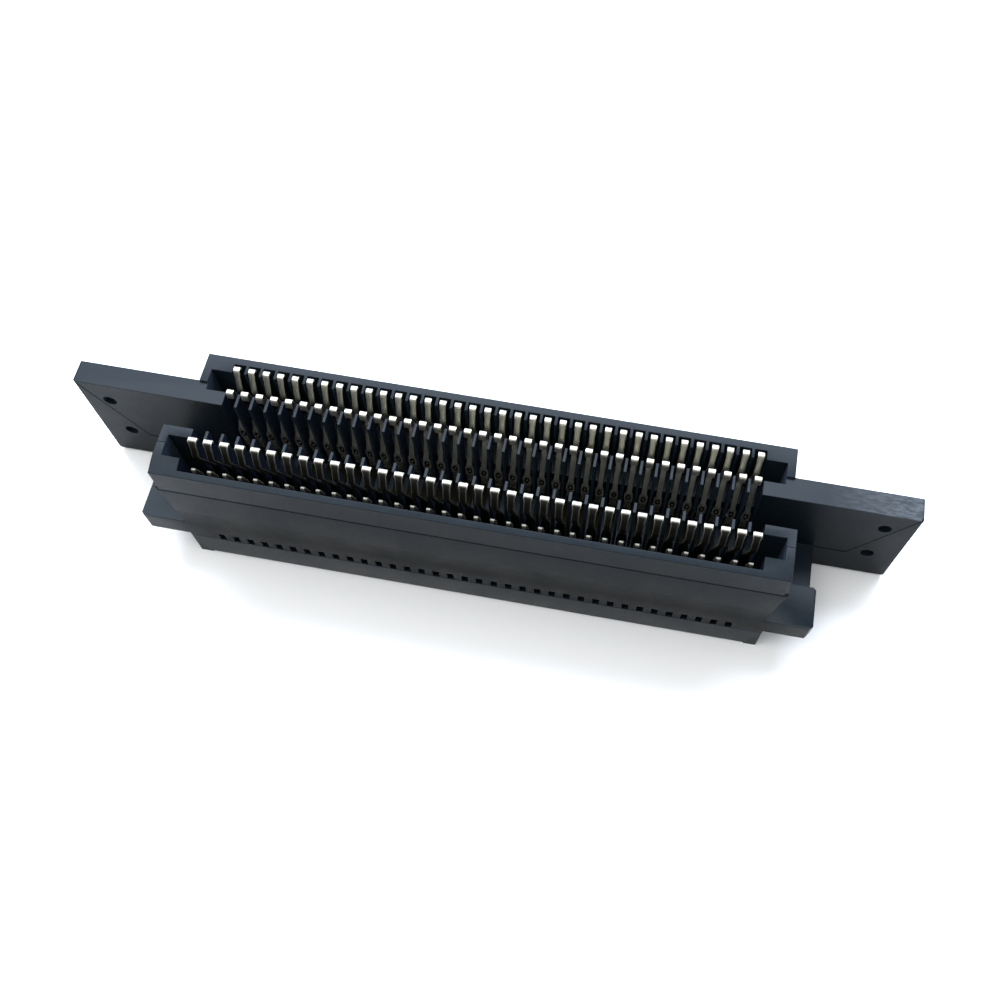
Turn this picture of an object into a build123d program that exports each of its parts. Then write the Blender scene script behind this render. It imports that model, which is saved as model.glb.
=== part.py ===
"""Cartridge slot connector, folded type, with both card slots facing up.

A moulded housing holds two rows of stamped spring contacts. The narrow board slot is at the back and the
wide cartridge slot at the front, with an open channel between them. Inner contacts join the facing rows
across the channel floor. Outer contacts join the outermost rows through the hollow under the housing,
which the bottom cover closes. Two wings with screw holes carry the connector.

Frame: X along the rows, -Y the cartridge side, +Z out of the slot mouths, origin at the centre of the base.
All sizes are in millimetres.
"""

import os

from build123d import *

# Contact rows
CONTACT_PITCH = 2.5
CONTACT_COUNT = 36
INNER_CONTACTS_PER_CARRIER = 2

# Walls and gaps in order from the back face to the front face
BACK_WALL = 1.3
BACK_COMB = 1.65
BOARD_SLOT = 3.6
RIDGE = 2.6
CHANNEL = 8.5
INNER_COMB = 1.7
CARTRIDGE_SLOT = 3.65
MOUTH_RECESS = 2.0
FRONT_WALL = 1.05

# Lengths past the end of the rows, at each end
BOARD_POCKET = 3.25
CARTRIDGE_POCKET = 3.3
RECESS_POCKET = 0.25
END_WALL = 1.35

# Levels above the base. The cartridge bar's top follows the seam under its rail.
COVER_FOOT = 0.4
SEAM_LEVEL = 6.3
CHANNEL_FLOOR = 8.4
FLANGE_TOP = 11.5
BOARD_FLOOR = 14.0
CARTRIDGE_FLOOR = 14.6
BELT_LEVEL = 16.2
RIDGE_TOP = 23.4
RAIL_SEAM = 23.8
BOARD_BAR_TOP = 23.9
RAIL_HEIGHT = 6.2
CARTRIDGE_BAR_TOP = RAIL_SEAM + RAIL_HEIGHT

# Combs and the row of windows over the seam
COMB_SLOT = 2.0
WINDOW_WIDTH = 1.1
WINDOW_HEIGHT = 2.1

# Tops of the two bars
RAISED_TOP_DEPTH = 5.4
RAIL_DEPTH = 5.3
RAIL_TOP_FALL = 0.75

# Belt, the sloped band on the cartridge side under the rail
BELT_TOP_SET_BACK = 0.4
BELT_FOOT_SET_BACK = 0.25
BELT_OVERHANG = 0.9
BELT_END_TAPER = 1.35

# Flange, the raised foot at each front corner, and the thin plate behind it
FLANGE_LENGTH = 7.35
FLANGE_DEPTH = 7.5
FLANGE_BOTTOM = 7.0
FLANGE_SIDE_CHAMFER = 0.5
FLANGE_END_CHAMFER = 1.5
FLANGE_CORNER = 0.5
PLATE_SET_BACK = 0.5

# Wings
WING_LENGTH = 21.0
WING_THICKNESS = 4.05
WING_BOTTOM = 0.6
WING_CORNER = 0.5
WEB_HEIGHT = 0.4
WEB_FOOT_LENGTH = 12.4
HOLE_RADIUS = 1.15
HOLE_FROM_TIP = 4.95
HOLE_DROP = 4.75
HOLE_SPACING = 10.4

# Bottom cover
COVER_WALL = 1.0
COVER_FLOOR = 1.3
COVER_FOOT_LENGTH = 2.2
COVER_FOOT_DEPTH = 3.0
WING_TO_COVER = 0.2

# Contact strip, cut from flat stock and bent. It fills its slots at the foot and tapers up each leg.
STRIP_THICKNESS = 0.25
SEAT_CLEARANCE = 0.05
LEG_TAPER = 0.0135
CREST_LENGTH = 0.9
SUNK_CREST_LENGTH = 0.4
HOOK_DROP = 0.8
HOOK_REACH = 0.1

# Card faces of the contact legs from the far side of each comb slot, and each link from the floor under it
BACK_LEG_GAP = 1.15
RIDGE_LEG_GAP = 0.95
INNER_LEG_GAP = 0.95
FRONT_LEG_GAP = 0.9
INNER_LINK_LIFT = 0.05
OUTER_LINK_LIFT = 2.3

# Back row: crest over its bar and behind the comb face, bow into the slot, bow and root below the crest
BACK_CREST_RISE = 1.0
BACK_CREST_INSET = 0.3
BACK_BOW_STAND = 1.5
BACK_BOW_DROP = 4.4
BACK_ROOT_DROP = 9.9

# Ridge row
RIDGE_CREST_RISE = 1.1
RIDGE_CREST_INSET = 0.35
RIDGE_BOW_STAND = 1.1
RIDGE_BOW_DROP = 3.7
RIDGE_ROOT_DROP = 9.6

# Inner cartridge row, the only one whose crest stands over the slot
INNER_CREST_RISE = 1.4
INNER_CREST_INSET = -0.8
INNER_BOW_STAND = 2.2
INNER_BOW_DROP = 3.5
INNER_ROOT_DROP = 11.5

# Front row, sunk in the mouth recess
FRONT_CREST_RISE = -2.5
FRONT_CREST_INSET = 0.35
FRONT_BOW_STAND = 0.7
FRONT_BOW_DROP = 3.0
FRONT_ROOT_DROP = 8.6

# Places worked out from the sizes above
comb_length = CONTACT_PITCH * CONTACT_COUNT
board_slot_length = comb_length + 2 * BOARD_POCKET
cartridge_slot_length = comb_length + 2 * CARTRIDGE_POCKET
recess_length = comb_length + 2 * RECESS_POCKET
bar_length = max(board_slot_length, cartridge_slot_length) + 2 * END_WALL
contact_places = [CONTACT_PITCH * (i - (CONTACT_COUNT - 1) / 2) for i in range(CONTACT_COUNT)]
depth = sum(
    [BACK_WALL, BACK_COMB, BOARD_SLOT, RIDGE, CHANNEL, INNER_COMB, CARTRIDGE_SLOT, MOUTH_RECESS, FRONT_WALL]
)
back_y = depth / 2
back_comb_y = back_y - BACK_WALL
board_slot_y = back_comb_y - BACK_COMB
ridge_y = board_slot_y - BOARD_SLOT
channel_y = ridge_y - RIDGE
inner_comb_y = channel_y - CHANNEL
cartridge_slot_y = inner_comb_y - INNER_COMB
recess_y = cartridge_slot_y - CARTRIDGE_SLOT
front_wall_y = recess_y - MOUTH_RECESS
front_y = front_wall_y - FRONT_WALL
rail_back_y = front_y + RAIL_DEPTH
belt_foot_y = front_y + BELT_FOOT_SET_BACK
wing_back_y = channel_y + WING_THICKNESS
wing_reach = bar_length / 2 + WING_LENGTH


def side_section(*points):
    """A closed outline in the Y-Z plane."""
    return Plane.YZ * make_face(Polyline(*points, close=True))


def front_section(*points):
    """A closed outline in the X-Z plane, facing the cartridge side."""
    return Plane.XZ * make_face(Polyline(*points, close=True))


def run(section, length):
    """A side section drawn out to both sides of the middle plane."""
    return extrude(section, length / 2, both=True)


def box_section(y_high, y_low, z_low, z_high):
    """A rectangular side section."""
    return side_section((y_high, z_low), (y_high, z_high), (y_low, z_high), (y_low, z_low))


def per_contact(cutter):
    """The same cutter at each contact's place in the row."""
    return [Pos(x, 0, 0) * cutter for x in contact_places]


def both_ends(piece):
    """A piece on the +X end and its mirror image on the -X end."""
    return piece + mirror(piece, Plane.YZ)


def make_back_block():
    """The board bar, the ridge and the channel floor, as one section drawn out along the rows."""
    outline = side_section(
        (back_y, SEAM_LEVEL),
        (back_y, BOARD_BAR_TOP),
        (back_y - RAISED_TOP_DEPTH, BOARD_BAR_TOP),
        (back_y - RAISED_TOP_DEPTH, RIDGE_TOP),
        (channel_y, RIDGE_TOP),
        (channel_y, CHANNEL_FLOOR),
        (inner_comb_y, CHANNEL_FLOOR),
        (inner_comb_y, SEAM_LEVEL),
    )
    return run(outline, bar_length)


def make_front_block():
    """The lower part of the cartridge bar. Its belt slopes out to a crease and narrows towards it."""
    outline = side_section(
        (inner_comb_y, SEAM_LEVEL),
        (inner_comb_y, CARTRIDGE_BAR_TOP),
        (rail_back_y, CARTRIDGE_BAR_TOP),
        (rail_back_y, RAIL_SEAM),
        (front_y + BELT_TOP_SET_BACK, RAIL_SEAM),
        (front_y, BELT_LEVEL),
        (belt_foot_y, BELT_LEVEL - BELT_FOOT_SET_BACK),
        (belt_foot_y, SEAM_LEVEL),
    )
    half = bar_length / 2
    wide = half + BELT_OVERHANG
    narrow = wide - BELT_END_TAPER
    faced = front_section(
        (-half, CARTRIDGE_BAR_TOP),
        (half, CARTRIDGE_BAR_TOP),
        (half, RAIL_SEAM),
        (wide, RAIL_SEAM),
        (narrow, BELT_LEVEL),
        (narrow, FLANGE_TOP),
        (half, FLANGE_TOP),
        (half, SEAM_LEVEL),
        (-half, SEAM_LEVEL),
        (-half, FLANGE_TOP),
        (-narrow, FLANGE_TOP),
        (-narrow, BELT_LEVEL),
        (-wide, RAIL_SEAM),
        (-half, RAIL_SEAM),
    )
    back_strip = run(box_section(inner_comb_y, rail_back_y, SEAM_LEVEL, CARTRIDGE_BAR_TOP), bar_length)
    return run(outline, 2 * wide) & (extrude(faced, depth / 2, both=True) + back_strip)


def make_wing():
    """The +X wing: a flat plate with a raised web above a slanting step, and two screw holes."""
    root = bar_length / 2 - END_WALL
    inner = bar_length / 2 + WING_TO_COVER
    plate = front_section(
        (root, RIDGE_TOP),
        (wing_reach, RIDGE_TOP),
        (wing_reach, WING_BOTTOM),
        (inner, WING_BOTTOM),
        (inner, SEAM_LEVEL),
        (root, SEAM_LEVEL),
    )
    plate = fillet(plate.vertices().sort_by(Axis.X)[-2:], WING_CORNER)
    web = front_section(
        (root, RIDGE_TOP),
        (wing_reach - WING_CORNER, RIDGE_TOP),
        (bar_length / 2 + WEB_FOOT_LENGTH, CHANNEL_FLOOR),
        (root, CHANNEL_FLOOR),
    )
    wing = Pos(0, wing_back_y, 0) * extrude(plate, WING_THICKNESS - WEB_HEIGHT)
    wing += Pos(0, wing_back_y, 0) * extrude(web, WING_THICKNESS)
    hole = Rot(90, 0, 0) * Cylinder(HOLE_RADIUS, 2 * WING_THICKNESS)
    upper = Pos(wing_reach - HOLE_FROM_TIP, (channel_y + wing_back_y) / 2, RIDGE_TOP - HOLE_DROP)
    return wing - [upper * hole, upper * Pos(0, 0, -HOLE_SPACING) * hole]


def make_flange():
    """The +X end of the base: a raised foot at the front and a thinner plate from there to the wing."""
    root = bar_length / 2 - END_WALL
    reach = bar_length / 2 + FLANGE_LENGTH
    foot_face = front_section(
        (root, FLANGE_BOTTOM),
        (reach - FLANGE_SIDE_CHAMFER, FLANGE_BOTTOM),
        (reach, FLANGE_BOTTOM + FLANGE_END_CHAMFER),
        (reach, FLANGE_TOP),
        (root, FLANGE_TOP),
    )
    foot = Pos(0, belt_foot_y + FLANGE_DEPTH, 0) * extrude(foot_face, FLANGE_DEPTH)
    outer_edges = foot.edges().filter_by(Axis.Z).group_by(Axis.X)[-1]
    foot = chamfer(outer_edges, FLANGE_CORNER)
    plate_face = front_section(
        (root, FLANGE_BOTTOM),
        (reach - PLATE_SET_BACK, FLANGE_BOTTOM),
        (reach - PLATE_SET_BACK, CHANNEL_FLOOR),
        (root, CHANNEL_FLOOR),
    )
    plate_depth = wing_back_y - belt_foot_y - FLANGE_DEPTH
    return foot + Pos(0, wing_back_y, 0) * extrude(plate_face, plate_depth)


def make_housing():
    """The main moulding, from the seam with the bottom cover up to both slot mouths."""
    body = make_back_block() + make_front_block() + both_ends(make_wing()) + both_ends(make_flange())
    body -= run(box_section(board_slot_y, ridge_y, BOARD_FLOOR, BOARD_BAR_TOP), board_slot_length)
    body -= cartridge_mouth()
    back_comb = box_section(back_comb_y, board_slot_y, SEAM_LEVEL, BOARD_BAR_TOP)
    ridge_comb = box_section(ridge_y, channel_y, CHANNEL_FLOOR, BOARD_BAR_TOP)
    inner_comb = box_section(inner_comb_y, cartridge_slot_y, CHANNEL_FLOOR, CARTRIDGE_BAR_TOP)
    front_comb = box_section(recess_y, front_wall_y, SEAM_LEVEL, RAIL_SEAM)
    for comb in (back_comb, ridge_comb, inner_comb, front_comb):
        body -= per_contact(run(comb, COMB_SLOT))
    window = box_section(front_wall_y, front_y, SEAM_LEVEL, SEAM_LEVEL + WINDOW_HEIGHT)
    return body - per_contact(run(window, WINDOW_WIDTH))


def cartridge_mouth():
    """The space of the cartridge slot with the shallower recess in front of it."""
    slot = run(box_section(cartridge_slot_y, recess_y, CARTRIDGE_FLOOR, CARTRIDGE_BAR_TOP), cartridge_slot_length)
    recess = run(box_section(recess_y, front_wall_y, RAIL_SEAM, CARTRIDGE_BAR_TOP), recess_length)
    return slot + recess


def make_front_rail():
    """The upper outer wall of the cartridge mouth, with a block at each end. Its top falls to the front."""
    outline = side_section(
        (rail_back_y, RAIL_SEAM),
        (rail_back_y, CARTRIDGE_BAR_TOP),
        (recess_y, CARTRIDGE_BAR_TOP),
        (front_y, CARTRIDGE_BAR_TOP - RAIL_TOP_FALL),
        (front_y, RAIL_SEAM),
    )
    return run(outline, bar_length) - cartridge_mouth()


def make_bottom_cover():
    """The tray under the outer contacts, with a small foot under each corner."""
    tray = run(box_section(back_y, belt_foot_y, COVER_FOOT, SEAM_LEVEL), bar_length)
    hollow = box_section(back_y - COVER_WALL, belt_foot_y + COVER_WALL, COVER_FOOT + COVER_FLOOR, SEAM_LEVEL)
    tray -= run(hollow, bar_length - 2 * COVER_WALL)
    foot = Box(COVER_FOOT_LENGTH, COVER_FOOT_DEPTH, COVER_FOOT, align=(Align.MAX, Align.MAX, Align.MIN))
    foot = Pos(bar_length / 2, back_y, 0) * foot
    front_foot = Pos(0, COVER_FOOT_DEPTH - (back_y - belt_foot_y), 0) * foot
    return tray + both_ends(foot) + both_ends(front_foot)


def leg_bends(leg_y, face_y, into, crest_z, inset, stand, bow_drop, root_drop, crest_length=CREST_LENGTH):
    """Bend points along a leg's card face, from its root past the bow and over the crest to the free end.

    The bow stands into the slot from the comb face, and the crest lies behind that face by the inset.
    """
    crest_y = face_y - into * inset
    return [
        (leg_y, crest_z - root_drop),
        (face_y + into * stand, crest_z - bow_drop),
        (crest_y + into * crest_length / 2, crest_z),
        (crest_y - into * crest_length / 2, crest_z),
        (crest_y - into * (crest_length / 2 + HOOK_REACH), crest_z - HOOK_DROP),
    ]


def bent_strip(back_leg, front_leg, link_z, metal_side):
    """A contact: two legs and the straight link between them, with the metal on one side of the line.

    The strip is as wide as its comb slot at the link, and each side leans in by the taper towards the crests.
    """
    link = [(back_leg[0][0], link_z), (front_leg[0][0], link_z)]
    card_face = Polyline(*back_leg[::-1], *link, *front_leg)
    outline = offset(card_face, STRIP_THICKNESS, kind=Kind.INTERSECTION, side=metal_side)
    low_z = link_z - STRIP_THICKNESS
    foot = COMB_SLOT / 2 - SEAT_CLEARANCE
    head = foot - LEG_TAPER * (CARTRIDGE_BAR_TOP + INNER_CREST_RISE - low_z)
    high_z = CARTRIDGE_BAR_TOP + INNER_CREST_RISE
    blank = front_section((-foot, low_z), (-head, high_z), (head, high_z), (foot, low_z))
    return run(Plane.YZ * make_face(outline), COMB_SLOT) & extrude(blank, depth / 2, both=True)


def make_outer_contact():
    """The long contact: back comb, link through the hollow of the cover, and up the front comb."""
    back_leg = leg_bends(
        back_comb_y - BACK_LEG_GAP, board_slot_y, -1, BOARD_BAR_TOP + BACK_CREST_RISE,
        BACK_CREST_INSET, BACK_BOW_STAND, BACK_BOW_DROP, BACK_ROOT_DROP,
    )
    front_leg = leg_bends(
        front_wall_y + FRONT_LEG_GAP, recess_y, 1, CARTRIDGE_BAR_TOP + FRONT_CREST_RISE,
        FRONT_CREST_INSET, FRONT_BOW_STAND, FRONT_BOW_DROP, FRONT_ROOT_DROP, SUNK_CREST_LENGTH,
    )
    return bent_strip(back_leg, front_leg, COVER_FOOT + COVER_FLOOR + OUTER_LINK_LIFT, Side.LEFT)


def make_inner_contact():
    """The short contact: ridge comb, link over the channel floor, and up the inner cartridge comb."""
    ridge_leg = leg_bends(
        channel_y + RIDGE_LEG_GAP, ridge_y, 1, RIDGE_TOP + RIDGE_CREST_RISE,
        RIDGE_CREST_INSET, RIDGE_BOW_STAND, RIDGE_BOW_DROP, RIDGE_ROOT_DROP,
    )
    inner_leg = leg_bends(
        inner_comb_y - INNER_LEG_GAP, cartridge_slot_y, -1, CARTRIDGE_BAR_TOP + INNER_CREST_RISE,
        INNER_CREST_INSET, INNER_BOW_STAND, INNER_BOW_DROP, INNER_ROOT_DROP,
    )
    return bent_strip(ridge_leg, inner_leg, CHANNEL_FLOOR + INNER_LINK_LIFT, Side.RIGHT)


os.makedirs("parts", exist_ok=True)
export_step(make_housing(), "parts/housing.step")
export_step(make_front_rail(), "parts/front_rail.step")
export_step(make_bottom_cover(), "parts/bottom_cover.step")

outer_contact = make_outer_contact()
for number, x in enumerate(contact_places, 1):
    export_step(Pos(x, 0, 0) * outer_contact, f"parts/outer_contact_{number:02d}.step")

inner_contact = make_inner_contact()
for first in range(0, CONTACT_COUNT, INNER_CONTACTS_PER_CARRIER):
    places = contact_places[first:first + INNER_CONTACTS_PER_CARRIER]
    group = Compound([Pos(x, 0, 0) * inner_contact for x in places])
    export_step(group, f"parts/inner_contacts_{first + 1:02d}_{first + len(places):02d}.step")
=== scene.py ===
import math
import random

import bmesh
import bpy
from mathutils import Matrix, Vector


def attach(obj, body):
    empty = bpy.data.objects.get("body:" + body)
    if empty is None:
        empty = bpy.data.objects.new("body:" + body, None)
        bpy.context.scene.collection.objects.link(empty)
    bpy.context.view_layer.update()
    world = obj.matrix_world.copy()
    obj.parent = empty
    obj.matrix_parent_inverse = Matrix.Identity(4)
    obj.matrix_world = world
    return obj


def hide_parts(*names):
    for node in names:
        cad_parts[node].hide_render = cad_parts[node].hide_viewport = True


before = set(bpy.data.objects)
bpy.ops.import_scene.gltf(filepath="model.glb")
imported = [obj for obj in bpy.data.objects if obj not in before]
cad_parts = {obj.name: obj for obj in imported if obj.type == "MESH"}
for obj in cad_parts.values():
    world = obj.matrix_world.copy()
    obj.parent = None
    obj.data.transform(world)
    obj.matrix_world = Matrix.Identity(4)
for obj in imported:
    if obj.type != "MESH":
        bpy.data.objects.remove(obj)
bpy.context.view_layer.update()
MM = 0.001


# Camera
# It looks steeply down on the mouths from the cartridge side, a little right of the middle, and its frame
# is shifted because the connector sits off the centre of the picture.
CAMERA_PLACE = (23.32 * MM, -78.73 * MM, 174.72 * MM)
CAMERA_AZIMUTH = 8.32
CAMERA_TILT = 24.05
CAMERA_ROLL = 2.06
SENSOR_WIDTH = 36.0
LENS = 38.35
FRAME_SHIFT = (-0.0528, 0.0507)
CLIP_START = 0.01

camera_data = bpy.data.cameras.new("camera")
camera_data.sensor_width = SENSOR_WIDTH
camera_data.lens = LENS
camera_data.shift_x, camera_data.shift_y = FRAME_SHIFT
camera_data.clip_start = CLIP_START
camera = bpy.data.objects.new("camera", camera_data)
turn = Matrix.Rotation(math.radians(CAMERA_AZIMUTH), 4, "Z")
tilt = Matrix.Rotation(math.radians(CAMERA_TILT), 4, "X")
roll = Matrix.Rotation(math.radians(CAMERA_ROLL), 4, "Z")
camera.matrix_world = Matrix.Translation(CAMERA_PLACE) @ turn @ tilt @ roll
bpy.context.scene.collection.objects.link(camera)
bpy.context.scene.camera = camera
bpy.context.scene.view_settings.view_transform = "Standard"


# Light
# A white room with a broad window behind, whose reflection lies on every face that looks up, a small lamp
# at the left, a soft ceiling that fills the mouths, and walls that are brighter on the window's side.
SKY_COLOUR = "#f6f8fa"
SKY_TURN = 0.7
SKY_FRONT = 0.45
SKY_BACK = 1.0


def linear(hex_colour):
    """An sRGB hex colour as linear red, green, blue and alpha."""
    parts = [int(hex_colour[i:i + 2], 16) / 255 for i in (1, 3, 5)]
    return [c / 12.92 if c <= 0.04045 else ((c + 0.055) / 1.055) ** 2.4 for c in parts] + [1.0]


def add_node(tree, kind, inputs=(), **settings):
    """Adds a node, sets its properties, and sets or links its inputs: an input is a value or a socket."""
    node = tree.nodes.new(kind)
    for name, value in settings.items():
        setattr(node, name, value)
    for name, value in dict(inputs).items():
        if isinstance(value, bpy.types.NodeSocket):
            tree.links.new(value, node.inputs[name])
        else:
            node.inputs[name].default_value = value
    return node


def soft_light(name, place, target, size, power, colour):
    """A rectangular light panel at place, facing target."""
    data = bpy.data.lights.new(name, "AREA")
    data.shape = "RECTANGLE"
    data.size, data.size_y = size
    data.energy = power
    data.color = linear(colour)[:3]
    light = bpy.data.objects.new(name, data)
    facing = (Vector(target) - Vector(place)).to_track_quat("-Z", "Y").to_matrix().to_4x4()
    light.matrix_world = Matrix.Translation(place) @ facing
    bpy.context.scene.collection.objects.link(light)


soft_light(
    "window", place=(-0.04, 0.32, 0.52), target=(0, 0, 0.02), size=(0.8, 0.35), power=9.0, colour="#e6f0ff"
)
soft_light(
    "lamp", place=(-0.26, -0.10, 0.42), target=(0, 0, 0), size=(0.35, 0.35), power=1.0, colour="#fffefb"
)
soft_light(
    "ceiling", place=(0.05, -0.12, 0.80), target=(0, 0, 0), size=(0.9, 0.9), power=2.4, colour="#fffefb"
)

world = bpy.data.worlds.new("room")
world.use_nodes = True
sky = world.node_tree.nodes["Background"]
sky.inputs["Color"].default_value = linear(SKY_COLOUR)
sky_direction = add_node(world.node_tree, "ShaderNodeTexCoord").outputs["Generated"]
sky_back = add_node(world.node_tree, "ShaderNodeSeparateXYZ", {"Vector": sky_direction}).outputs["Y"]
sky_level = add_node(world.node_tree, "ShaderNodeMapRange", {
    "Value": sky_back, "From Min": -SKY_TURN, "From Max": SKY_TURN, "To Min": SKY_FRONT, "To Max": SKY_BACK,
}).outputs["Result"]
world.node_tree.links.new(sky_level, sky.inputs["Strength"])
bpy.context.scene.world = world


# Floor
# A plain sheet of matt white paper under the connector's feet.
FLOOR_HALF = 1.5
PAPER_COLOUR = "#f9fbfd"
PAPER_ROUGHNESS = 0.9

floor_mesh = bpy.data.meshes.new("floor")
corners = [(x * FLOOR_HALF, y * FLOOR_HALF, 0) for x, y in ((-1, -1), (1, -1), (1, 1), (-1, 1))]
floor_mesh.from_pydata(corners, [], [(0, 1, 2, 3)])
floor = bpy.data.objects.new("floor", floor_mesh)
bpy.context.scene.collection.objects.link(floor)
paper = bpy.data.materials.new("white_paper")
paper.use_nodes = True
paper_shader = paper.node_tree.nodes["Principled BSDF"]
paper_shader.inputs["Base Color"].default_value = linear(PAPER_COLOUR)
paper_shader.inputs["Roughness"].default_value = PAPER_ROUGHNESS
floor_mesh.materials.append(paper)


# Housing
# The main moulding: both slots, the combs, the flanges and the wings. It is glass-filled polyester, moulded
# in one shot, so its edges are slightly rounded and its faces have a fine spark-eroded grain.
HOUSING_EDGE = 0.07
EDGE_STEPS = 2
WELD_REACH = 0.002
CUT_REACH = 0.0001
FLAT_ANGLE = 0.5
EDGE_ANGLE = 25.0
SHADING_ANGLE = 20.0
FACING = 0.9

# Materials of a skin after its own first one, and the faces along X that take two of them
SHADE, CREASE_SHADE, SIDE_LIGHT, FRONT_SHADE, COMB_SHADE = 1, 2, 3, 4, 5
SIDES_FROM = 12.0
COMB_HALF = 46.0


def moulded_skin(name, node, edge, bands=()):
    """A copy of a CAD node with its facets joined into flat faces and its edges rounded as moulded ones are.

    Each band is a test of a front face's centre, a list of cutting planes as point and direction, and a
    material number: the part of those faces that lies beyond all its planes takes that material.
    """
    solid = bmesh.new()
    solid.from_mesh(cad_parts[node].data)
    bmesh.ops.remove_doubles(solid, verts=solid.verts, dist=WELD_REACH * MM)
    bmesh.ops.dissolve_limit(
        solid, angle_limit=math.radians(FLAT_ANGLE), verts=solid.verts, edges=solid.edges
    )
    short = {v for e in solid.edges if e.calc_length() < 3 * edge * MM for v in e.verts}
    turned = [e for e in solid.edges if e.calc_face_angle() > math.radians(EDGE_ANGLE)]
    sharp = [e for e in turned if not short & set(e.verts)]
    bmesh.ops.bevel(solid, geom=sharp, offset=edge * MM, segments=EDGE_STEPS, profile=0.5, affect="EDGES")
    for inside, planes, number in bands:
        for point, direction in planes:
            cut = [f for f in solid.faces if f.normal.y < -FACING and inside(f.calc_center_median() / MM)]
            edges = list({e for f in cut for e in f.edges})
            corners = list({v for f in cut for v in f.verts})
            bmesh.ops.bisect_plane(
                solid, geom=cut + edges + corners, dist=CUT_REACH * MM,
                plane_co=Vector(point) * MM, plane_no=direction,
            )
        for face in solid.faces:
            centre = face.calc_center_median() / MM
            beyond = all((centre - Vector(point)).dot(direction) > 0 for point, direction in planes)
            if face.normal.y < -FACING and inside(centre) and beyond:
                face.material_index = number
    # Faces along X get painted light outside the combs and painted shade on the comb sides.
    for face in solid.faces:
        centre = face.calc_center_median() / MM
        if abs(face.normal.x) > FACING and centre.z > SIDES_FROM:
            face.material_index = COMB_SHADE if abs(centre.x) < COMB_HALF else SIDE_LIGHT
    mesh = bpy.data.meshes.new(name)
    solid.to_mesh(mesh)
    solid.free()
    for polygon in mesh.polygons:
        polygon.use_smooth = True
    mesh.set_sharp_from_angle(angle=math.radians(SHADING_ANGLE))
    skin = bpy.data.objects.new(name, mesh)
    bpy.context.scene.collection.objects.link(skin)
    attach(skin, "root")
    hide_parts(node)
    return skin


# The grain is drawn coarser than the real one of about 0.05 mm, which is too fine to show.
FLOW_MARKS = 7.0
FLOW_DETAIL = 3.0
GRAIN = 0.22
GRAIN_DETAIL = 2.0
GRAIN_DEPTH = 0.02
GRAIN_STRENGTH = 0.25
TONE_FROM, TONE_TO = 0.75, 1.25
SMOOTHER, ROUGHER = 0.05, 0.07
POLYESTER_IOR = 1.55

# The top of the right wing, rubbed pale by handling in short streaks that get denser towards its tip
RUBBED_COLOUR = "#4b5157"
RUBBED_LEVEL = 23.4
RUBBED_NEAR = 0.15
RUBBED_FROM, RUBBED_TO = 55.0, 70.6
STREAK = (1.6, 0.5, 0.5)
STREAK_DETAIL = 4.0
STREAK_ROUGHNESS = 0.65
WORN_FROM, WORN_TO = 0.40, 0.62
WORN_LEAST = 0.25


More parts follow.
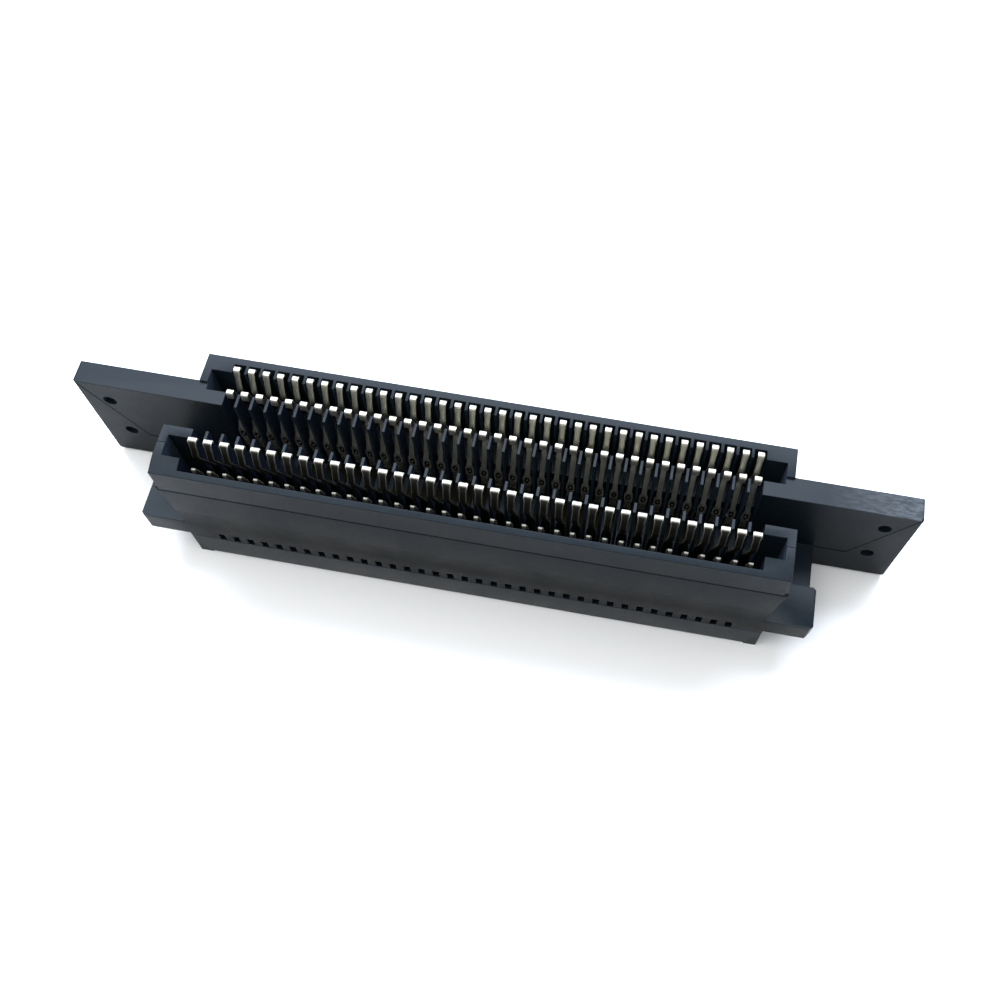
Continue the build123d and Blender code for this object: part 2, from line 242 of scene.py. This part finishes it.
def moulded_polyester(name, dark, light, roughness, gloss):
    """Glass-filled polyester: a matt charcoal with flow marks, a fine grain and a paler rubbed place."""
    material = bpy.data.materials.new(name)
    material.use_nodes = True
    tree = material.node_tree
    shader = tree.nodes["Principled BSDF"]
    place = add_node(tree, "ShaderNodeTexCoord").outputs["Object"]
    flow = add_node(tree, "ShaderNodeTexNoise", {
        "Vector": place, "Scale": 1 / (FLOW_MARKS * MM), "Detail": FLOW_DETAIL,
    }).outputs["Fac"]
    grain = add_node(tree, "ShaderNodeTexNoise", {
        "Vector": place, "Scale": 1 / (GRAIN * MM), "Detail": GRAIN_DETAIL,
    }).outputs["Fac"]
    tone = add_node(tree, "ShaderNodeMath", {0: flow, 1: grain}, operation="ADD").outputs[0]
    spread = add_node(tree, "ShaderNodeMapRange", {
        "Value": tone, "From Min": TONE_FROM, "From Max": TONE_TO,
    }).outputs["Result"]
    body = add_node(tree, "ShaderNodeMix", {
        "Factor": spread, "A": linear(dark), "B": linear(light),
    }, data_type="RGBA").outputs["Result"]
    apart = add_node(tree, "ShaderNodeSeparateXYZ", {"Vector": place})
    on_wing_top = add_node(tree, "ShaderNodeMath", {
        0: apart.outputs["Z"], 1: RUBBED_LEVEL * MM, 2: RUBBED_NEAR * MM,
    }, operation="COMPARE").outputs[0]
    handled = add_node(tree, "ShaderNodeMapRange", {
        "Value": apart.outputs["X"], "From Min": RUBBED_FROM * MM, "From Max": RUBBED_TO * MM,
    }).outputs["Result"]
    streaks = add_node(tree, "ShaderNodeMapping", {
        "Vector": place, "Scale": [1 / (size * MM) for size in STREAK],
    }).outputs["Vector"]
    scratches = add_node(tree, "ShaderNodeTexNoise", {
        "Vector": streaks, "Scale": 1.0, "Detail": STREAK_DETAIL, "Roughness": STREAK_ROUGHNESS,
    }).outputs["Fac"]
    worn = add_node(tree, "ShaderNodeMapRange", {
        "Value": scratches, "From Min": WORN_FROM, "From Max": WORN_TO, "To Min": WORN_LEAST, "To Max": 1.0,
    }).outputs["Result"]
    on_top = add_node(tree, "ShaderNodeMath", {0: handled, 1: on_wing_top}, operation="MULTIPLY").outputs[0]
    rubbed = add_node(tree, "ShaderNodeMath", {0: on_top, 1: worn}, operation="MULTIPLY").outputs[0]
    surface = add_node(tree, "ShaderNodeMix", {
        "Factor": rubbed, "A": body, "B": linear(RUBBED_COLOUR),
    }, data_type="RGBA").outputs["Result"]
    tree.links.new(surface, shader.inputs["Base Color"])
    shine = add_node(tree, "ShaderNodeMapRange", {
        "Value": spread, "To Min": roughness - SMOOTHER, "To Max": roughness + ROUGHER,
    }).outputs["Result"]
    tree.links.new(shine, shader.inputs["Roughness"])
    shader.inputs["IOR"].default_value = POLYESTER_IOR
    shader.inputs["Specular IOR Level"].default_value = gloss
    relief = add_node(tree, "ShaderNodeBump", {
        "Height": grain, "Strength": GRAIN_STRENGTH, "Distance": GRAIN_DEPTH * MM,
    }).outputs["Normal"]
    tree.links.new(relief, shader.inputs["Normal"])
    return material


# Front faces that differ from the rest, painted darker than the tops as painted shade. The lower bar is
# painted darker still below the crease of its belt as painted shade, and a painted shadow line lies under
# the rail and along each web, where the joint or the corner is in shade.
FRONT_FACE = -12.5
BELT_TOP = 23.7
SEAM_SHADE = 22.6
CREASE_LEVEL = 16.2
WING_FROM = 50.0
WING_FACE = 4.275
WING_FACE_NEAR = 0.1
WEB_TOP = (70.15, 4.3, 23.4)
WEB_FOOT = (62.05, 4.3, 8.4)
WEB_SHADE_BELOW = 1.2
WEB_SHADE_BESIDE = {-1: 1.0, 1: 0.78}
UP, DOWN = Vector((0, 0, 1)), Vector((0, 0, -1))


def on_belt(p):
    """Whether a point lies on the front face of the lower bar."""
    return p.y < FRONT_FACE and p.z < BELT_TOP


def on_wing(p):
    """Whether a point lies on the front of a wing."""
    return p.y > 0 and abs(p.x) > WING_FROM


def on_wing_plate(side):
    """A test for points on the sunk part of one wing's front face."""
    return lambda p: p.x * side > WING_FROM and abs(p.y - WING_FACE) < WING_FACE_NEAR


shade_bands = [
    (on_belt, [], FRONT_SHADE),
    (on_wing, [], FRONT_SHADE),
    (on_belt, [((0, 0, SEAM_SHADE), UP)], SHADE),
    (on_belt, [((0, 0, CREASE_LEVEL), DOWN)], CREASE_SHADE),
]
for side in (-1, 1):
    inward = Vector(((WEB_FOOT[2] - WEB_TOP[2]) * side, 0, WEB_TOP[0] - WEB_FOOT[0])).normalized()
    beside = Vector((WEB_FOOT[0] * side, WEB_FOOT[1], WEB_FOOT[2])) - inward * WEB_SHADE_BESIDE[side]
    below = (0, 0, WEB_FOOT[2] - WEB_SHADE_BELOW)
    shade_bands.append((on_wing_plate(side), [(beside, inward), (below, UP)], SHADE))
housing = moulded_skin("housing_skin", "housing", HOUSING_EDGE, shade_bands)

# Beside the body's finish come shared ones: a painted shadow line, painted shade below the belt's crease and
# on the front faces, faces along X beyond the combs painted paler, as painted light from the sides, and
# duller, and comb sides painted dark as painted shade in the mouths.
BODY_FINISH = {"dark": "#121a20", "light": "#192128", "roughness": 0.33, "gloss": 0.095}

polyester = moulded_polyester("housing_polyester", **BODY_FINISH)
shared_finishes = [
    moulded_polyester("joint_shade", dark="#07090b", light="#0a0d10", roughness=0.60, gloss=0.02),
    moulded_polyester("crease_shade_polyester", dark="#02070a", light="#050b0f", roughness=0.42, gloss=0.052),
    moulded_polyester("side_lit_polyester", dark="#26313c", light="#2d3945", roughness=0.45, gloss=0.1),
    moulded_polyester("front_shade_polyester", dark="#060d12", light="#0a1218", roughness=0.40, gloss=0.063),
    moulded_polyester("comb_shade_polyester", dark="#0d131d", light="#121924", roughness=0.40, gloss=0.07),
]
for finish in [polyester] + shared_finishes:
    housing.data.materials.append(finish)


# Front rail
# The upper outer wall of the cartridge mouth with a block at each end, moulded apart from the housing in the
# same polyester and seated on the housing's end walls.
RAIL_EDGE = 0.09

# The rail's front face takes the painted shade of the front faces.
rail_bands = [(lambda p: p.y < FRONT_FACE, [], FRONT_SHADE)]
rail = moulded_skin("front_rail_skin", "front_rail", RAIL_EDGE, rail_bands)
rail_polyester = moulded_polyester("rail_polyester", **BODY_FINISH)
for finish in [rail_polyester] + shared_finishes:
    rail.data.materials.append(finish)


# Bottom cover
# The tray that closes the hollow under the outer contacts. The same polyester, welded on at the seam.
COVER_EDGE = 0.1

cover = moulded_skin("bottom_cover_skin", "bottom_cover", COVER_EDGE)
cover_polyester = moulded_polyester(
    "cover_polyester", dark="#0b141a", light="#121b22", roughness=0.33, gloss=0.085
)
cover.data.materials.append(cover_polyester)


# Outer contacts
# Long strips of phosphor bronze with a bright tin plating, stamped and bent. Each joins the back row to the
# front row under the housing, and is held by its foot in the combs.
STRIP = 0.25
EDGE_ROUND = 0.07
RUN_STEP = 0.7
FINE_STEP = 0.09
BEND_STEPS = 6
BEND_SHARE = 0.48
CREST_BEND = 0.45
BOW_BEND = 1.6
FOOT_BEND = 0.5
STRIP_ANGLE = 50.0

# Bright heads where the plating has aged, painted shade on the card side that spares the rims as a painted
# glint, and painted shade, darker and rougher, on the link deep in the channel
HEAD_LENGTH = 2.1
HEAD_FADE = 2.0
CARD_SIDE_SHADE = 1.9
RIM = 0.12
RIM_GLINT = 0.6
LINK_SHADE = 2.0
LINK_LIT_TO = 11.2
LINK_SHADE_FROM = 9.0


def bent_line(bends, fine_from=0.0, fine_to=0.0):
    """Points along a bent line in the Y-Z plane with an arc at each bend, closer between two fine levels."""
    points = [Vector(bends[0][:2])]
    for before, bend, after in zip(bends, bends[1:], bends[2:]):
        corner = Vector(bend[:2])
        back, on = Vector(before[:2]) - corner, Vector(after[:2]) - corner
        half_turn = (math.pi - back.angle(on)) / 2
        reach = min(bend[2] * math.tan(half_turn), BEND_SHARE * min(back.length, on.length))
        start, end = corner + back.normalized() * reach, corner + on.normalized() * reach
        for step in range(BEND_STEPS + 1):
            t = step / BEND_STEPS
            points.append(start.lerp(corner, t).lerp(corner.lerp(end, t), t))
    points.append(Vector(bends[-1][:2]))
    line = [points[0]]
    for a, b in zip(points, points[1:]):
        fine = a.x > 0 and max(a.y, b.y) > fine_from and min(a.y, b.y) < fine_to
        parts = max(1, math.ceil((b - a).length / (FINE_STEP if fine else RUN_STEP)))
        line += [a.lerp(b, k / parts) for k in range(1, parts + 1)]
    return line


def lengths_along(line):
    """The length of the line up to each of its points."""
    total = [0.0]
    for a, b in zip(line, line[1:]):
        total.append(total[-1] + (b - a).length)
    return total


def width_at(widths, s):
    """The strip's width at length s, blended between pairs of length and width."""
    for (s0, w0), (s1, w1) in zip(widths, widths[1:]):
        if s <= s1:
            t = max(0.0, (s - s0) / (s1 - s0))
            return w0 + (w1 - w0) * t * t * (3 - 2 * t)
    return widths[-1][1]


def share(value):
    """The value kept between 0 and 1."""
    return min(1.0, max(0.0, value))


def bent_strip(line, widths, columns, metal_side):
    """Points, faces and the material values of a strip with rounded edges, centred on X."""
    corner = EDGE_ROUND * (1 - math.sqrt(0.5))
    lengths = lengths_along(line)
    points, faces, heads, dull_and_shade = [], [], [], []
    for i, (centre, s) in enumerate(zip(line, lengths)):
        along = (line[min(i + 1, len(line) - 1)] - line[max(i - 1, 0)]).normalized()
        normal = Vector((-along.y, along.x)) * metal_side
        half = width_at(widths, s) / 2
        flat = half - EDGE_ROUND
        side = [(flat * (2 * c / columns - 1), 0.0) for c in range(columns + 1)]
        side += [(half - corner, corner), (half, EDGE_ROUND)]
        side += [(half, STRIP - EDGE_ROUND), (half - corner, STRIP - corner)]
        ring = side + [(-x, STRIP - h) for x, h in side]
        head = share(HEAD_LENGTH - min(s, lengths[-1] - s))
        # The link deep in the channel and the card side below the heads get painted shade; the rims get less
        # of it and stay lit as painted glints.
        link = LINK_SHADE * share((LINK_LIT_TO - centre.y) / (LINK_LIT_TO - LINK_SHADE_FROM))
        for x, h in ring:
            rim = share((abs(x) - flat + RIM) / RIM)
            card_side = centre.x < 0 and h < STRIP / 2
            card_shade = CARD_SIDE_SHADE * (1 - RIM_GLINT * rim) * share(HEAD_FADE * (1 - head)) if card_side else 0.0
            points.append((x, centre.x + normal.x * h, centre.y + normal.y * h))
            heads.append(head)
            dull_and_shade.append(max(card_shade, link))
    size = len(ring)
    for i in range(len(line) - 1):
        for j in range(size):
            k = (j + 1) % size
            faces.append((i * size + j, i * size + k, (i + 1) * size + k, (i + 1) * size + j))
    faces.append(tuple(range(size - 1, -1, -1)))
    faces.append(tuple(range(len(points) - size, len(points))))
    return points, faces, {"head": heads, "dull_and_shade": dull_and_shade}


def strip_object(name, node, strips, material):
    """A node's strips as one object. Each strip is points in millimetres, faces and material values."""
    points, faces = [], []
    for strip_points, strip_faces, _ in strips:
        faces += [tuple(len(points) + v for v in face) for face in strip_faces]
        points += [tuple(c * MM for c in p) for p in strip_points]
    mesh = bpy.data.meshes.new(name)
    mesh.from_pydata(points, [], faces)
    for key in strips[0][2]:
        values = [value for strip in strips for value in strip[2][key]]
        mesh.attributes.new(key, "FLOAT", "POINT").data.foreach_set("value", values)
    solid = bmesh.new()
    solid.from_mesh(mesh)
    bmesh.ops.recalc_face_normals(solid, faces=solid.faces)
    solid.to_mesh(mesh)
    solid.free()
    for polygon in mesh.polygons:
        polygon.use_smooth = True
    mesh.set_sharp_from_angle(angle=math.radians(STRIP_ANGLE))
    mesh.materials.append(material)
    strip = bpy.data.objects.new(name, mesh)
    bpy.context.scene.collection.objects.link(strip)
    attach(strip, "root")
    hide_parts(node)


SPRING_SEED = 36
LEAN = 0.09
SINK = 0.1
SPRUNG_FROM = 15
SPRUNG_OVER = 16


def bent_by_hand(strip, spring, x_place):
    """The strip set at its place in the row, with its heads sprung a little out of line."""
    points, faces, values = strip
    lean, sink = spring.uniform(-LEAN, LEAN), spring.uniform(-SINK, 0.0)
    moved = []
    for x, y, z in points:
        sprung = max(0.0, (z - SPRUNG_FROM) / SPRUNG_OVER) ** 2
        moved.append((x_place + x + lean * sprung, y, z + sink * sprung))
    return moved, faces, values


# The first colour is the deepest painted shade on the strips. The rolling lines are drawn coarser than the
# real ones of about 0.02 mm, which are too fine to show.
DEEP_SHADE_COLOUR = "#16150f"
STAINS = 1.1
STAINS_DETAIL = 3.0
STAINS_FROM, STAINS_TO = 0.35, 0.7
STAINS_LEAST, STAINS_MOST = -0.12, 0.2
HEAD_ROUGHNESS = 0.16
DULL_ROUGHNESS = 0.25
ROLLING_LINES = (0.12, 4.0, 4.0)
ROLLING_DETAIL = 2.0
ROLLING_DEPTH = 0.003
ROLLING_STRENGTH = 0.06


def plated_bronze(name, head_colour, beam_colour, dull_shade_colour, roughness):
    """Tin-plated phosphor bronze: silvery heads, beige beams, and painted shade deep inside, darker and
    rougher, then near black.
    """
    material = bpy.data.materials.new(name)
    material.use_nodes = True
    tree = material.node_tree
    shader = tree.nodes["Principled BSDF"]
    place = add_node(tree, "ShaderNodeTexCoord").outputs["Object"]
    head = add_node(tree, "ShaderNodeAttribute", attribute_name="head").outputs["Fac"]
    dull_and_shade = add_node(tree, "ShaderNodeAttribute", attribute_name="dull_and_shade").outputs["Fac"]
    patches = add_node(tree, "ShaderNodeTexNoise", {
        "Vector": place, "Scale": 1 / (STAINS * MM), "Detail": STAINS_DETAIL,
    }).outputs["Fac"]
    stains = add_node(tree, "ShaderNodeMapRange", {
        "Value": patches, "From Min": STAINS_FROM, "From Max": STAINS_TO,
        "To Min": STAINS_LEAST, "To Max": STAINS_MOST,
    }).outputs["Result"]
    bright = add_node(
        tree, "ShaderNodeMath", {0: head, 1: stains}, operation="SUBTRACT", use_clamp=True
    ).outputs[0]
    colour = add_node(tree, "ShaderNodeMix", {
        "Factor": bright, "A": linear(beam_colour), "B": linear(head_colour),
    }, data_type="RGBA").outputs["Result"]
    low = add_node(tree, "ShaderNodeClamp", {"Value": dull_and_shade}).outputs["Result"]
    deep_shade = add_node(
        tree, "ShaderNodeMath", {0: dull_and_shade, 1: 1.0}, operation="SUBTRACT", use_clamp=True
    ).outputs[0]
    shaded = add_node(tree, "ShaderNodeMix", {
        "Factor": low, "A": colour, "B": linear(dull_shade_colour),
    }, data_type="RGBA").outputs["Result"]
    surface = add_node(tree, "ShaderNodeMix", {
        "Factor": deep_shade, "A": shaded, "B": linear(DEEP_SHADE_COLOUR),
    }, data_type="RGBA").outputs["Result"]
    tree.links.new(surface, shader.inputs["Base Color"])
    shader.inputs["Metallic"].default_value = 1.0
    brushed = add_node(tree, "ShaderNodeMath", {
        0: head, 1: HEAD_ROUGHNESS, 2: roughness,
    }, operation="MULTIPLY_ADD").outputs[0]
    shine = add_node(tree, "ShaderNodeMath", {
        0: low, 1: DULL_ROUGHNESS, 2: brushed,
    }, operation="MULTIPLY_ADD").outputs[0]
    tree.links.new(shine, shader.inputs["Roughness"])
    rolled = add_node(tree, "ShaderNodeMapping", {
        "Vector": place, "Scale": [1 / (size * MM) for size in ROLLING_LINES],
    }).outputs["Vector"]
    lines = add_node(tree, "ShaderNodeTexNoise", {
        "Vector": rolled, "Scale": 1.0, "Detail": ROLLING_DETAIL,
    }).outputs["Fac"]
    relief = add_node(tree, "ShaderNodeBump", {
        "Height": lines, "Strength": ROLLING_STRENGTH, "Distance": ROLLING_DEPTH * MM,
    }).outputs["Normal"]
    tree.links.new(relief, shader.inputs["Normal"])
    return material


CONTACT_COUNT = 36
PITCH = 2.5
contact_x = [PITCH * (i - (CONTACT_COUNT - 1) / 2) for i in range(CONTACT_COUNT)]
spring = random.Random(SPRING_SEED)

# The bends as Y, Z and radius from the back row to the front row, and the widths at lengths along the strip
OUTER_BENDS = [
    (10.925, 24.1, 0), (10.825, 24.9, CREST_BEND), (9.925, 24.9, CREST_BEND), (8.575, 20.5, BOW_BEND),
    (10.575, 15.0, BOW_BEND), (10.575, 4.0, FOOT_BEND), (-11.075, 4.0, FOOT_BEND), (-11.075, 18.9, BOW_BEND),
    (-9.275, 24.5, BOW_BEND), (-10.125, 27.5, CREST_BEND), (-10.525, 27.5, CREST_BEND), (-10.625, 26.7, 0),
]
outer_line = bent_line(OUTER_BENDS)
outer_end = lengths_along(outer_line)[-1]
OUTER_WIDTHS = [
    (0, 1.0), (0.2, 1.1), (2.6, 1.1), (3.0, 0.98), (8, 1.1), (14, 1.8), (outer_end - 13, 1.8),
    (outer_end - 8, 1.1), (outer_end - 1.8, 0.95), (outer_end - 1.2, 0.68), (outer_end, 0.55),
]
OUTER_COLUMNS = 6

# The heads of the front row, deep in the mouth, get painted shade, darker and rougher.
MOUTH_SHADE = 0.75
MOUTH_SHADE_FROM = 25.5

outer_points, outer_faces, outer_values = bent_strip(outer_line, OUTER_WIDTHS, OUTER_COLUMNS, metal_side=1)
outer_values["dull_and_shade"] = [
    max(MOUTH_SHADE, level) if y < 0 and z > MOUTH_SHADE_FROM else level
    for (_, y, z), level in zip(outer_points, outer_values["dull_and_shade"])
]
outer_strip = outer_points, outer_faces, outer_values
matt_tinned_bronze = plated_bronze(
    "matt_tinned_bronze", head_colour="#bdbbb2", beam_colour="#d3d1c5", dull_shade_colour="#84837a", roughness=0.36
)
for number, x in enumerate(contact_x, 1):
    node = f"outer_contact_{number:02d}"
    placed = bent_by_hand(outer_strip, spring, x)
    strip_object(node + "_strip", node, [placed], matt_tinned_bronze)


# Inner contacts
# Short strips of the same plated bronze. Each joins the ridge row to the inner cartridge row over the channel
# floor, and has a round pad with a pressed ring that wedges it in the ridge comb.
PAD_LEVEL = 13.45
PAD_WIDTH = 1.5
PAD_SHINE = 2.0
PAD_REACH = 2.4
FINE_REACH = 1.2
RING_RADIUS = 0.32
RING_STRETCH = 2.1
RING_HALF = 0.2
RING_DEPTH = 0.14
RING_SHADE = 3.0

INNER_BENDS = [
    (5.515, 23.2, 0), (5.675, 24.5, CREST_BEND), (6.575, 24.5, CREST_BEND), (7.575, 20.8, BOW_BEND),
    (4.825, 14.9, BOW_BEND), (4.825, 8.45, FOOT_BEND), (-5.575, 8.45, FOOT_BEND), (-5.575, 19.9, BOW_BEND),
    (-8.525, 27.9, BOW_BEND), (-7.575, 31.4, CREST_BEND), (-6.675, 31.4, CREST_BEND), (-6.575, 30.6, 0),
]
inner_line = bent_line(INNER_BENDS, PAD_LEVEL - FINE_REACH, PAD_LEVEL + FINE_REACH)
inner_lengths = lengths_along(inner_line)
inner_end = inner_lengths[-1]
pad_s = next(s for p, s in zip(inner_line, inner_lengths) if p.x > 0 and p.y < PAD_LEVEL)
INNER_WIDTHS = [
    (0, 1.15), (0.2, 1.2), (2.4, 1.2), (2.8, 1.05), (pad_s - 2.0, 0.95), (pad_s - 1.0, PAD_WIDTH),
    (pad_s + 0.8, PAD_WIDTH), (pad_s + 2.2, 1.2), (pad_s + 4.5, 1.5), (inner_end - 16, 1.8),
    (inner_end - 11, 1.15), (inner_end - 2.0, 1.15), (inner_end - 1.7, 1.42), (inner_end - 0.2, 1.42),
    (inner_end, 1.3),
]
INNER_COLUMNS = 16


def ringed(strip):
    """The strip with a ring pressed in its pad from the channel side, painted shade in the ring, and a bright
    pad.
    """
    points, faces, values = strip
    pressed, dull_and_shade, heads = [], [], []
    for (x, y, z), level, head in zip(points, values["dull_and_shade"], values["head"]):
        off_ring = abs(math.hypot(x, (z - PAD_LEVEL) / RING_STRETCH) - RING_RADIUS)
        depth = max(0.0, 1 - off_ring / RING_HALF) if y > 0 else 0.0
        near_pad = max(0.0, 1 - abs(z - PAD_LEVEL) / PAD_REACH) if y > 0 else 0.0
        pressed.append((x, y + RING_DEPTH * depth, z))
        dull_and_shade.append(1 + RING_SHADE * depth if depth > 0 else level)
        heads.append(max(head, PAD_SHINE * near_pad))
    return pressed, faces, {"head": heads, "dull_and_shade": dull_and_shade}


tinned_bronze = plated_bronze(
    "tinned_bronze", head_colour="#b8b6ad", beam_colour="#cbc9bd", dull_shade_colour="#8f8e85", roughness=0.30
)
inner_strip = ringed(bent_strip(inner_line, INNER_WIDTHS, INNER_COLUMNS, metal_side=-1))
for first in range(0, CONTACT_COUNT, 2):
    node = f"inner_contacts_{first + 1:02d}_{first + 2:02d}"
    pair = [bent_by_hand(inner_strip, spring, x) for x in contact_x[first:first + 2]]
    strip_object(node + "_strips", node, pair, tinned_bronze)
